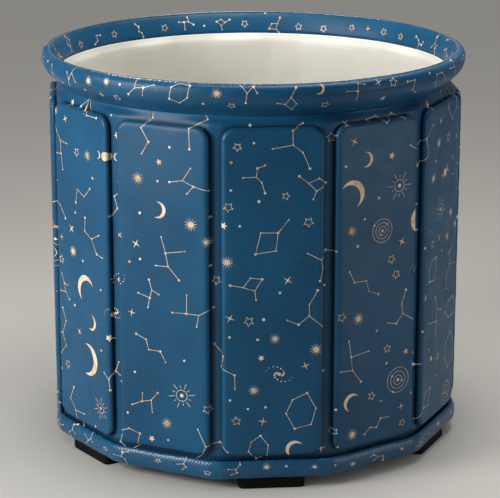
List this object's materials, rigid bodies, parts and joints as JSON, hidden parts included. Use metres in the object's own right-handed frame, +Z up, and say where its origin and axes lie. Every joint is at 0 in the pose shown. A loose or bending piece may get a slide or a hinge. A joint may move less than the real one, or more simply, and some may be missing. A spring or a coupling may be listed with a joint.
{
  "type": "portable bathtub",
  "caption": "Round folding bathtub with padded upright wall panels in printed cloth, a stuffed collar and base roll, a white liner and a screw-down drain.",
  "frame": {"origin": "on the ground under the middle of the tub", "axes": "+Z up, -Y towards the middle of the front panel, +Y towards the panel with the drain"},
  "size_m": [0.726, 0.726, 0.6778],
  "materials": {
    "printed_fabric": "satin coated cloth with a fine twill and a gold celestial print",
    "liner_sheet": "smooth white waterproof sheet",
    "wall_foam": "closed-cell foam",
    "base_cloth": "matt dark coated cloth",
    "foot_rubber": "matt",
    "rod_plastic": "satin",
    "fitting_plastic": "moulded, semi-gloss",
    "seal_rubber": "matt",
    "ring_steel": "polished"
  },
  "bodies": {
    "tub": {"outer_skin": "printed_fabric", "foam_board_01": "wall_foam", "foam_board_02": "wall_foam", "foam_board_03": "wall_foam", "foam_board_04": "wall_foam", "foam_board_05": "wall_foam", "foam_board_06": "wall_foam", "foam_board_07": "wall_foam", "foam_board_08": "wall_foam", "foam_board_09": "wall_foam", "foam_board_10": "wall_foam", "foam_board_11": "wall_foam", "foam_board_12": "wall_foam", "inner_liner": "liner_sheet", "floor_foam": "wall_foam", "base_sheet": "base_cloth", "collar_cover": "printed_fabric", "collar_foam": "wall_foam", "base_roll_cover": "printed_fabric", "base_roll_core": "wall_foam", "foot_pad_01": "foot_rubber", "foot_pad_02": "foot_rubber", "foot_pad_03": "foot_rubber", "foot_pad_04": "foot_rubber", "foot_pad_05": "foot_rubber", "foot_pad_06": "foot_rubber", "drain_body": "fitting_plastic", "drain_gasket": "seal_rubber", "drain_washer": "seal_rubber", "drain_lock_nut": "fitting_plastic"},
    "rod_01": {"support_rod_01": "rod_plastic"},
    "rod_02": {"support_rod_02": "rod_plastic"},
    "rod_03": {"support_rod_03": "rod_plastic"},
    "rod_04": {"support_rod_04": "rod_plastic"},
    "rod_05": {"support_rod_05": "rod_plastic"},
    "rod_06": {"support_rod_06": "rod_plastic"},
    "rod_07": {"support_rod_07": "rod_plastic"},
    "rod_08": {"support_rod_08": "rod_plastic"},
    "rod_09": {"support_rod_09": "rod_plastic"},
    "rod_10": {"support_rod_10": "rod_plastic"},
    "rod_11": {"support_rod_11": "rod_plastic"},
    "rod_12": {"support_rod_12": "rod_plastic"},
    "cap_seal": {"drain_cap_seal": "seal_rubber"},
    "cap": {"drain_cap": "fitting_plastic"},
    "stopper": {"drain_stopper": "fitting_plastic"},
    "ring": {"stopper_ring": "ring_steel"}
  },
  "joints": [
    {"name": "rod_01_slide", "type": "slide", "parent": "tub", "child": "rod_01", "axis": [0, 0, -1], "range_m": [0, 0.59]},
    {"name": "rod_02_slide", "type": "slide", "parent": "tub", "child": "rod_02", "axis": [0, 0, -1], "range_m": [0, 0.59]},
    {"name": "rod_03_slide", "type": "slide", "parent": "tub", "child": "rod_03", "axis": [0, 0, -1], "range_m": [0, 0.59]},
    {"name": "rod_04_slide", "type": "slide", "parent": "tub", "child": "rod_04", "axis": [0, 0, -1], "range_m": [0, 0.59]},
    {"name": "rod_05_slide", "type": "slide", "parent": "tub", "child": "rod_05", "axis": [0, 0, -1], "range_m": [0, 0.59]},
    {"name": "rod_06_slide", "type": "slide", "parent": "tub", "child": "rod_06", "axis": [0, 0, -1], "range_m": [0, 0.59]},
    {"name": "rod_07_slide", "type": "slide", "parent": "tub", "child": "rod_07", "axis": [0, 0, -1], "range_m": [0, 0.59]},
    {"name": "rod_08_slide", "type": "slide", "parent": "tub", "child": "rod_08", "axis": [0, 0, -1], "range_m": [0, 0.59]},
    {"name": "rod_09_slide", "type": "slide", "parent": "tub", "child": "rod_09", "axis": [0, 0, -1], "range_m": [0, 0.59]},
    {"name": "rod_10_slide", "type": "slide", "parent": "tub", "child": "rod_10", "axis": [0, 0, -1], "range_m": [0, 0.59]},
    {"name": "rod_11_slide", "type": "slide", "parent": "tub", "child": "rod_11", "axis": [0, 0, -1], "range_m": [0, 0.59]},
    {"name": "rod_12_slide", "type": "slide", "parent": "tub", "child": "rod_12", "axis": [0, 0, -1], "range_m": [0, 0.59]},
    {"name": "cap_seal_travel", "type": "slide", "parent": "tub", "child": "cap_seal", "axis": [0, 1, 0], "range_m": [0, 0.0075]},
    {"name": "cap_turn", "type": "hinge", "parent": "cap_seal", "child": "cap", "pos_m": [0, 0.355, 0.114], "axis": [0, 1, 0], "range_deg": [0, 901]},
    {"name": "stopper_pull", "type": "slide", "parent": "tub", "child": "stopper", "axis": [0, -1, 0], "range_m": [0, 0.03]},
    {"name": "ring_swing", "type": "hinge", "parent": "stopper", "child": "ring", "pos_m": [0, 0.3128, 0.114], "axis": [-1, 0, 0], "range_deg": [0, 160]}
  ],
  "couplings": [
    {"joint": "cap_turn", "follows": "cap_seal_travel", "rad_per_m": 2094.4}
  ]
}
